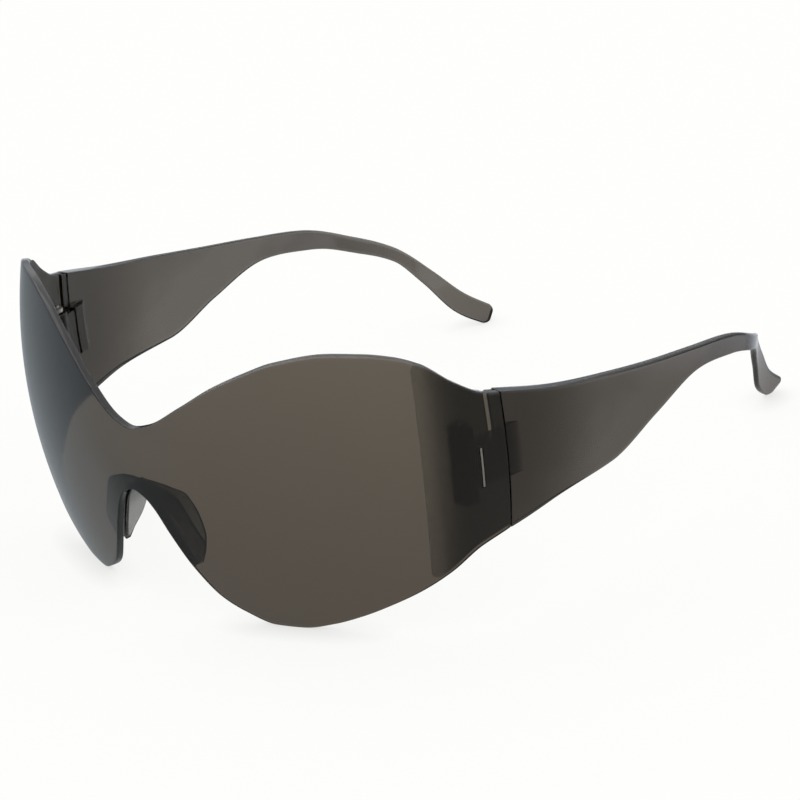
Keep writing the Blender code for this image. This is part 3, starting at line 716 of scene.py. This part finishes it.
def tab_block(name, side, margin, outer, inner, surface):
    """The hinge tab's shape between two depths, grown by a margin along and up the curve."""
    middle, wide, tall = HALF_ARC - TAB_SETBACK, TAB_THICKNESS / 2 + margin, TAB_HEIGHT / 2 + margin
    shape = curved_block(
        side, (middle - wide, middle + wide), (HINGE_HEIGHT - tall, HINGE_HEIGHT + tall), (outer, inner)
    )
    return new_mesh(name, *shape, surface)


def slot_cutter(side, surface):
    """What cuts a hinge tab's slot through the shield and the plate behind it."""
    return tab_block("slot_cutter", side, TAB_GAP, -OVERRUN, TONGUE_DEPTH + OVERRUN, surface)


combine(shield, "DIFFERENCE", slot_cutter(1, lens_plastic), slot_cutter(-1, lens_plastic))
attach(shield, "front")
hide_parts("shield_lens")
print("shield after its slots:", len(shield.data.polygons), "faces")

# %% [markdown]
# ## The temples
#
# The temples are moulded from clear nylon with a smoke dye, since a temple has to bend where polycarbonate
# might crack. Their material is the same recipe with a moulded surface: a little less smooth than the
# polished shield, and a touch lighter. Each temple is 3.1 mm thick at the seam, where a sloping boss inside
# carries the hinge's tongue. It thins to 2.2 mm along its wide part and round the hook, and to 1.4 mm in the
# tip. The skins use the same rings, between a top and a bottom edge that are given along the curve behind the
# seam. Painted shade makes their surface colour a little darker at the seam's top and in the tips.

# %% Temple plastic
TEMPLE_DYE = ("#776B5D", 1080)
# Painted shade: the temples' surface colour is darker at the seam's top and in the tips, lighter in between.
TEMPLE_PAINTED_SHADE = (
    (0, 1, -2),
    (
        (-125, "#DAD8D6"),
        (-98, "#E6E5E3"),
        (-76, "#FFFFFF"),
        (-54, "#FFFFFE"),
        (-38, "#E0DEDC"),
        (-15, "#EAE9E8"),
        (20, "#C6C3BF"),
        (74, "#B4B0AB"),
    ),
)
temple_plastic = tinted_plastic(
    "moulded smoke nylon", *TEMPLE_DYE, TEMPLE_PAINTED_SHADE, 1.52, sheen=(0.05, 0.11), wave=(18, 0.02)
)
WIDE_THICKNESS = 0.0022
let_through = [math.exp(-WIDE_THICKNESS * TEMPLE_DYE[1] * (1 - value)) for value in linear(TEMPLE_DYE[0])]
print("temple plastic lets through", [round(value, 3) for value in let_through])

# %% The temples' edges and thickness
TIP_DROP, TIP_HEIGHT, TIP_ROUNDING = 0.0303, 0.0035, 0.0013
SEAM_THICKNESS, TIP_THICKNESS = 0.0031, 0.0014
THICKNESS_ALONG = (
    (0, SEAM_THICKNESS),
    (0.03, SEAM_THICKNESS),
    (0.25, WIDE_THICKNESS),
    (0.50, WIDE_THICKNESS),
    (0.75, WIDE_THICKNESS),
    (0.92, TIP_THICKNESS),
    (1, TIP_THICKNESS),
)
ROUNDING_SHARE = ((0, 0.08), (0.03, 0.08), (0.33, 0.45), (1, 0.45))
TOP_EDGE_FALL = (
    (0, 0),
    (0.125, 0.09),
    (0.25, 0.161),
    (0.375, 0.232),
    (0.50, 0.298),
    (0.625, 0.37),
    (0.73, 0.475),
    (0.82, 0.576),
    (0.89, 0.738),
    (0.945, 0.884),
    (1, 1),
)
BOTTOM_EDGE_FALL = (
    (0, 0),
    (0.13, -0.046),
    (0.26, -0.03),
    (0.39, -0.17),
    (0.52, -0.286),
    (0.65, -0.18),
    (0.76, 0.004),
    (0.84, 0.164),
    (0.89, 0.44),
    (0.94, 0.766),
    (1, 1),
)


def temple_edges(share):
    """A temple's bottom and top edges at a share of its length, each as (arc from the middle, height)."""
    tip_bottom = SEAM_BOTTOM - TIP_DROP
    top = SEAM_TOP - (SEAM_TOP - tip_bottom - TIP_HEIGHT) * smooth(TOP_EDGE_FALL, share)
    bottom = SEAM_BOTTOM - TIP_DROP * smooth(BOTTOM_EDGE_FALL, share)
    seam = HALF_ARC + SEAM_GAP
    return (seam + share * TEMPLE_BOTTOM_ARC, bottom), (seam + share * TEMPLE_TOP_ARC, top)


# %% One temple, with its hinge tongue
TEMPLE_STEPS, MOST_ROUNDING = 260, 0.46
TONGUE_ROOT, TONGUE_ROUNDING, BARREL_BEVEL = 0.0015, 0.00012, 0.00015
BOSS_LENGTH, BOSS_MARGIN, BOSS_ROUNDING = 0.0070, 0.0003, 0.00025
BOSS_OUTER, BOSS_BURIED = 0.0009, 0.0022
BOSS_RISE = ((0, 1), (0.40, 1), (0.50, 0.92), (0.90, 0.12), (1, 0))
SIDE_NAMES = {1: "right", -1: "left"}
PIN_RADIUS, PIN_CLEARANCE, KNUCKLE_HEIGHT = 0.0007, 0.0003, 0.0030


def hinge_centre(side):
    """The middle of a hinge's barrel."""
    return on_curve(side * HINGE_ARC, HINGE_HEIGHT, HINGE_DEPTH)


def barrel_profile(low, high, bevel):
    """Half the section of a hinge's barrel or knuckle, with a small bevel at both ends."""
    inner = KNUCKLE_RADIUS - bevel
    return [(inner, low), (KNUCKLE_RADIUS, low + bevel), (KNUCKLE_RADIUS, high - bevel), (inner, high)]


def pin_cutter(side, surface):
    """What cuts the screw's hole, a little wider than the screw."""
    reach = TONGUE_HEIGHT / 2 + TOUCH_GAP + KNUCKLE_HEIGHT + OVERRUN
    bore = PIN_RADIUS + PIN_CLEARANCE
    return new_mesh("pin_cutter", *turned(hinge_centre(side), [(bore, -reach), (bore, reach)]), surface)


def make_boss(side):
    """The thick place behind the seam that carries the tongue, sloping down into the temple's wall."""
    share = np.linspace(0, 1, 24)
    arc = HALF_ARC + SEAM_GAP + BOSS_LENGTH * share
    top = TONGUE_DEPTH + TONGUE_THICKNESS + BOSS_MARGIN
    inner = BOSS_BURIED + (top - BOSS_BURIED) * smooth(BOSS_RISE, share)
    half = TONGUE_HEIGHT / 2 + BOSS_MARGIN
    low, high = (arc, HINGE_HEIGHT - half), (arc, HINGE_HEIGHT + half)
    rings = sheet_rings(side, low, high, BOSS_OUTER, inner, (BOSS_ROUNDING,) * 3, rows=24, corner_steps=4)
    return new_mesh("boss", *skin(rings, flip=side > 0), temple_plastic)


def make_temple(side):
    """A temple, its hinge tongue and the barrel at the tongue's end, as one moulding."""
    front_steps = seam_steps / TEMPLE_TOP_ARC
    tip_steps = 1 - TIP_ROUNDING / TEMPLE_TOP_ARC * (1 - np.sin(np.linspace(0, math.pi / 2, 12)))
    middle = np.linspace(front_steps[-1], tip_steps[0], TEMPLE_STEPS)
    share = np.concatenate([front_steps[:-1], middle, tip_steps[1:]])
    low, high = temple_edges(share)
    thickness = smooth(THICKNESS_ALONG, share)
    rounding = thickness * smooth(ROUNDING_SHARE, share)
    start = rounded_end(share * TEMPLE_TOP_ARC, SEAM_RADIUS)
    end = rounded_end((1 - share) * TEMPLE_TOP_ARC, TIP_ROUNDING)
    flat = np.clip(rounding, 0, (thickness - 2 * start) * MOST_ROUNDING)
    rings = sheet_rings(
        side, low, high, start, thickness - start, (flat,) * 3, rows=36, corner_steps=8, drawn_in=start + end
    )
    temple = new_mesh(f"{SIDE_NAMES[side]}_temple_moulding", *skin(rings, flip=side > 0), temple_plastic)
    tongue_arcs = (HINGE_ARC, HALF_ARC + SEAM_GAP + TONGUE_ROOT)
    half = TONGUE_HEIGHT / 2
    tongue = curved_block(
        side,
        tongue_arcs,
        (HINGE_HEIGHT - half, HINGE_HEIGHT + half),
        (TONGUE_DEPTH, TONGUE_DEPTH + TONGUE_THICKNESS),
        stations=20,
        rounding=TONGUE_ROUNDING,
    )
    profile = barrel_profile(-half, half, BARREL_BEVEL)
    tools = [
        make_boss(side),
        new_mesh("tongue", *tongue, temple_plastic),
        new_mesh("barrel", *turned(hinge_centre(side), profile), temple_plastic),
    ]
    combine(temple, "UNION", *tools)
    combine(temple, "DIFFERENCE", pin_cutter(side, temple_plastic))
    body = f"{SIDE_NAMES[side]}_temple"
    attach(temple, body)
    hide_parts(body)
    return temple


for side in (1, -1):
    temple = make_temple(side)
    print(temple.name, len(temple.data.polygons), "faces")

# %% [markdown]
# ## The dark mouldings
#
# The nose saddle and the two end pieces are moulded in nylon with a darker smoke dye. Their surface comes
# from a mould with a fine matt finish, so they shine more softly. The end pieces hold more dye than the
# saddle, whose pads let some light through. The saddle is a flange behind the edge of the notch that turns
# back into a pad on each side of the nose. Its section changes all the way along, so it is a loft too: six
# corners at each place, each rounded.

# %% Dark smoke plastic
DARK_DYE, SADDLE_DYE = ("#5A5A5C", 2500), ("#747573", 1200)
# The end pieces' surface colour is a touch darker low down, and the saddle's much darker near the top of the
# notch.
DARK_FADE = ((0, 0, 1), ((15, "#E8EAE6"), (50, "#F0F2EE")))
SADDLE_FADE = ((0, 0, 1), ((23, "#FFFFFC"), (31, "#A5A8A3")))
MATT_FINISH = {"index": 1.50, "sheen": (0.14, 0.24), "wave": (12, 0.01), "grain_height": 0.0002}
dark_plastic = tinted_plastic("matt moulded dark nylon", *DARK_DYE, DARK_FADE, **MATT_FINISH)
saddle_plastic = tinted_plastic("matt moulded smoke nylon", *SADDLE_DYE, SADDLE_FADE, **MATT_FINISH)
for surface, dye in ((dark_plastic, DARK_DYE), (saddle_plastic, SADDLE_DYE)):
    let_through = [math.exp(-END_PIECE_THICKNESS * dye[1] * (1 - value)) for value in linear(dye[0])]
    print(surface.name, "lets through", [round(value, 3) for value in let_through])

# %% The nose saddle
FLANGE_WIDTH, FLANGE_LIP, FLANGE_THICKNESS, SADDLE_BOTTOM = 0.0062, 0.0004, 0.0008, 0.0150
PAD_DEPTH, PAD_THICKNESS, PAD_SLIDE, PAD_FLARE = 0.0071, 0.0012, 0.0005, 0.0016
FLANGE_WIDTH_ALONG = ((0, 0.38), (0.15, 0.62), (0.32, 1), (0.80, 1), (0.93, 0.6), (1, 0.16))
PAD_DEPTH_ALONG = ((0, 0.20), (0.15, 0.62), (0.35, 1), (0.55, 0.94), (0.75, 0.76), (0.90, 0.42), (1, 0.12))
PAD_SLIDE_ALONG = ((0, 0), (0.15, 1), (1, 1))
PAD_FLARE_ALONG = ((0, 0.1), (0.15, -0.1), (0.35, 0.47), (0.55, 1), (0.75, 1), (0.90, 0.7), (1, 0))
SADDLE_STEPS, SADDLE_ROUNDING = 110, 0.00035


def rounded_corners(ring, radius, steps=4, most=0.45):
    """A closed ring of corner points, each turned into a short curve over at most a share of each side."""
    points = []
    for place, corner in enumerate(ring):
        before, after = ring[place - 1] - corner, ring[(place + 1) % len(ring)] - corner
        start, end = (corner + leg * min(radius / np.linalg.norm(leg), most) for leg in (before, after))
        for t in np.linspace(0, 1, steps + 1):
            points.append((1 - t) ** 2 * start + 2 * t * (1 - t) * corner + t**2 * end)
    return np.array(points)


def make_saddle():
    """The saddle: a flange behind the edge of the notch, with a pad that flares back on each side."""
    arcs = np.linspace(0, LOBE_BOTTOM_ARC, 4000)
    heights = lens_bottom(arcs)
    arcs, heights = arcs[heights >= SADDLE_BOTTOM], heights[heights >= SADDLE_BOTTOM]
    length = np.concatenate([[0], np.cumsum(np.hypot(np.diff(arcs), np.diff(heights)))])
    even = np.linspace(0, length[-1], SADDLE_STEPS + 1)
    arcs, heights = np.interp(even, length, arcs), np.interp(even, length, heights)
    ahead = np.stack([np.gradient(arcs), np.gradient(heights)], axis=1)
    ahead /= np.linalg.norm(ahead, axis=1)[:, None]
    ahead[0] = (1, 0)
    share = np.linspace(0, 1, len(arcs))
    front = LENS_THICKNESS + TOUCH_GAP
    back = front + FLANGE_THICKNESS
    width = FLANGE_WIDTH * smooth(FLANGE_WIDTH_ALONG, share)
    slide = PAD_SLIDE * smooth(PAD_SLIDE_ALONG, share)
    flare = PAD_FLARE * smooth(PAD_FLARE_ALONG, share)
    rim = back + PAD_DEPTH * smooth(PAD_DEPTH_ALONG, share)
    half = []
    for i in range(len(arcs)):
        outline = (
            (-FLANGE_LIP, 0, front),
            (width[i], 0, front),
            (width[i], 0, back),
            (PAD_THICKNESS - FLANGE_LIP, 0, back),
            (flare[i] + PAD_THICKNESS, slide[i], rim[i]),
            (flare[i], slide[i], rim[i]),
        )
        ring = np.array(
            [
                (
                    arcs[i] - ahead[i][1] * out + ahead[i][0] * down,
                    heights[i] + ahead[i][0] * out + ahead[i][1] * down,
                    depth,
                )
                for out, down, depth in outline
            ]
        )
        half.append(rounded_corners(ring, SADDLE_ROUNDING))
    half = np.array(half)
    mirrored = half[:0:-1] * np.array([-1, 1, 1])
    rings = np.concatenate([mirrored, half])
    rings = on_curve(rings[..., 0], rings[..., 1], rings[..., 2])
    count = rings.shape[1]
    points, faces = skin(rings, flip=False)
    sides = (len(rings) - 1) * count
    faces = [list(face) for face in faces[:sides]]
    faces += [list(range(count))[::-1], list(range(sides, sides + count))]
    return points, [face[::-1] for face in faces]


saddle = new_mesh("nose_saddle_moulding", *make_saddle(), saddle_plastic)
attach(saddle, "front")
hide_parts("nose_saddle")
print("saddle:", len(saddle.data.polygons), "faces")

# %% [markdown]
# An end piece is a thin plate bonded inside each end of the shield. It carries the two fixed knuckles of
# the hinge above and below the temple's barrel: turned shapes joined to the plate by short necks, with the
# screw's hole through all of them. In the photograph the plate has no front edge to see, and the lens only
# grows dark. So the plate here thins out to almost nothing, and its feathered front reaches a few
# millimetres past the solid's.

# %% The end pieces
END_PIECE_LENGTH, END_PIECE_FRONT, END_PIECE_INSET, END_PIECE_CORNER = 0.0165, 0.00006, 0.0002, 0.0030
FEATHER_LENGTH = 0.0045
END_PIECE_GROWTH = ((0, 0), (0.1, 0.09), (0.25, 0.45), (0.4, 0.8), (0.55, 1), (1, 1))
SLIT_SETBACK, SLIT_WIDTH, SLIT_HEIGHT = 0.0036, 0.0016, 0.0100
NECK_SHARE, KNUCKLE_BEVEL, PLATE_ROUNDING_SHARE = 0.8, 0.00012, 0.3
END_PIECE_STEPS = 60


def make_neck(side, low, high, surface):
    """A block from the plate to the hinge's axis, square to the surface at the hinge."""
    heading = float(np.interp(HINGE_ARC, PLAN_ARC, HEADING))
    back = np.array([side * math.cos(heading), math.sin(heading), 0])
    inward = np.array([-side * math.sin(heading), math.cos(heading), 0])
    plate = TONGUE_DEPTH - TOUCH_GAP - END_PIECE_THICKNESS / 2 - HINGE_DEPTH
    half = KNUCKLE_RADIUS * NECK_SHARE
    points = [
        hinge_centre(side) + back * along + inward * deep + np.array([0, 0, height])
        for height in (low, high)
        for along, deep in ((-half, plate), (half, plate), (half, 0), (-half, 0))
    ]
    faces = [(0, 1, 5, 4), (1, 2, 6, 5), (2, 3, 7, 6), (3, 0, 4, 7), (3, 2, 1, 0), (4, 5, 6, 7)]
    return new_mesh("neck", np.array(points), [face[::-1] for face in faces] if side < 0 else faces, surface)


def make_end_piece(side):
    """An end piece: a plate with two knuckles on necks, the screw's hole, the tab's slot and a slit."""
    share = np.linspace(0, 1, END_PIECE_STEPS + 1) ** 2
    length = END_PIECE_LENGTH + FEATHER_LENGTH
    arc = HALF_ARC - length * (1 - share)
    corner = rounded_end(share * length, END_PIECE_CORNER)
    grown = smooth(END_PIECE_GROWTH, share)
    thickness = END_PIECE_FRONT + (END_PIECE_THICKNESS - END_PIECE_FRONT) * grown
    front = LENS_THICKNESS + TOUCH_GAP
    low = (arc, lens_bottom(arc) + END_PIECE_INSET + corner)
    high = (arc, lens_top(arc) - END_PIECE_INSET - corner)
    radius = PLATE_ROUNDING_SHARE * thickness
    rings = sheet_rings(side, low, high, front, front + thickness, (radius,) * 3, rows=40)
    piece = new_mesh(f"{SIDE_NAMES[side]}_end_moulding", *skin(rings, flip=side > 0), dark_plastic)
    tools = []
    for way in (1, -1):
        near = TONGUE_HEIGHT / 2 + TOUCH_GAP
        low_end, high_end = sorted((way * near, way * (near + KNUCKLE_HEIGHT)))
        profile = barrel_profile(low_end, high_end, KNUCKLE_BEVEL)
        tools.append(new_mesh("knuckle", *turned(hinge_centre(side), profile), dark_plastic))
        tools.append(make_neck(side, low_end, high_end, dark_plastic))
    combine(piece, "UNION", *tools)
    slit_block = curved_block(
        side,
        (HALF_ARC - SLIT_SETBACK, HALF_ARC - SLIT_SETBACK + SLIT_WIDTH),
        (SEAM_TOP - SLIT_HEIGHT, SEAM_TOP + OVERRUN),
        (LENS_THICKNESS + TOUCH_GAP / 2, TONGUE_DEPTH + OVERRUN),
    )
    slit = new_mesh("slit", *slit_block, dark_plastic)
    combine(piece, "DIFFERENCE", pin_cutter(side, dark_plastic), slot_cutter(side, dark_plastic), slit)
    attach(piece, "front")
    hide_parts(f"{SIDE_NAMES[side]}_end_piece")
    return piece


for side in (1, -1):
    piece = make_end_piece(side)
    print(piece.name, len(piece.data.polygons), "faces")

# %% [markdown]
# ## Steel
#
# The tabs are stamped from stainless sheet and the screws are turned, and both kinds are brushed rather
# than polished. Brushing leaves fine lines in one direction, which spread the mirrored light across them.
# The lines are far too fine to show at this distance, so they are drawn a tenth of a millimetre apart.

# %% Brushed stainless steel
BRUSH_LINE_MM = 0.1
BRUSH_DEPTH, STEEL_EDGE = 0.004 * MM, 0.06 * MM
STEEL_DARK, STEEL_LIGHT = "#B4B2AE", "#D8D6D2"
STEEL_SMOOTH, STEEL_ROUGH = 0.18, 0.38


def brushed_steel(name, stretch):
    """Stainless steel with brush lines along the axis whose stretch is smallest."""
    made, tree = new_material(name)
    here = add(tree, "ShaderNodeTexCoord").outputs["Object"]
    drawn = add(tree, "ShaderNodeMapping", {"Vector": here, "Scale": stretch})
    line = noise(tree, drawn.outputs[0], BRUSH_LINE_MM, {"Detail": 2.0})
    rough = add(tree, "ShaderNodeMapRange", {"Value": line, "To Min": STEEL_SMOOTH, "To Max": STEEL_ROUGH})
    bump = add(tree, "ShaderNodeBump", {"Height": line, "Distance": BRUSH_DEPTH, "Strength": 1.0})
    shader = add(
        tree,
        "ShaderNodeBsdfPrincipled",
        {
            "Base Color": blend(tree, line, STEEL_DARK, STEEL_LIGHT),
            "Metallic": 1.0,
            "Roughness": rough.outputs[0],
            "Normal": bump.outputs[0],
        },
    )
    add(tree, "ShaderNodeOutputMaterial", {"Surface": shader.outputs[0]})
    return made


tab_steel = brushed_steel("brushed stainless sheet", (1, 1, 0.05))
screw_steel = brushed_steel("turned stainless steel", (0.3, 0.3, 1))

# %% The tabs and the screws
for name, surface in (("hinge_tab", tab_steel), ("hinge_screw", screw_steel)):
    for side in ("left", "right"):
        node = frame["nodes"][f"{side}_{name}"]
        node.data.materials.clear()
        node.data.materials.append(surface)
        softened = node.modifiers.new("softened edges", "BEVEL")
        softened.width = STEEL_EDGE
        softened.segments = 2
        softened.limit_method = "ANGLE"
        softened.angle_limit = SHARP_ANGLE
        print(node.name, "is", surface.name)
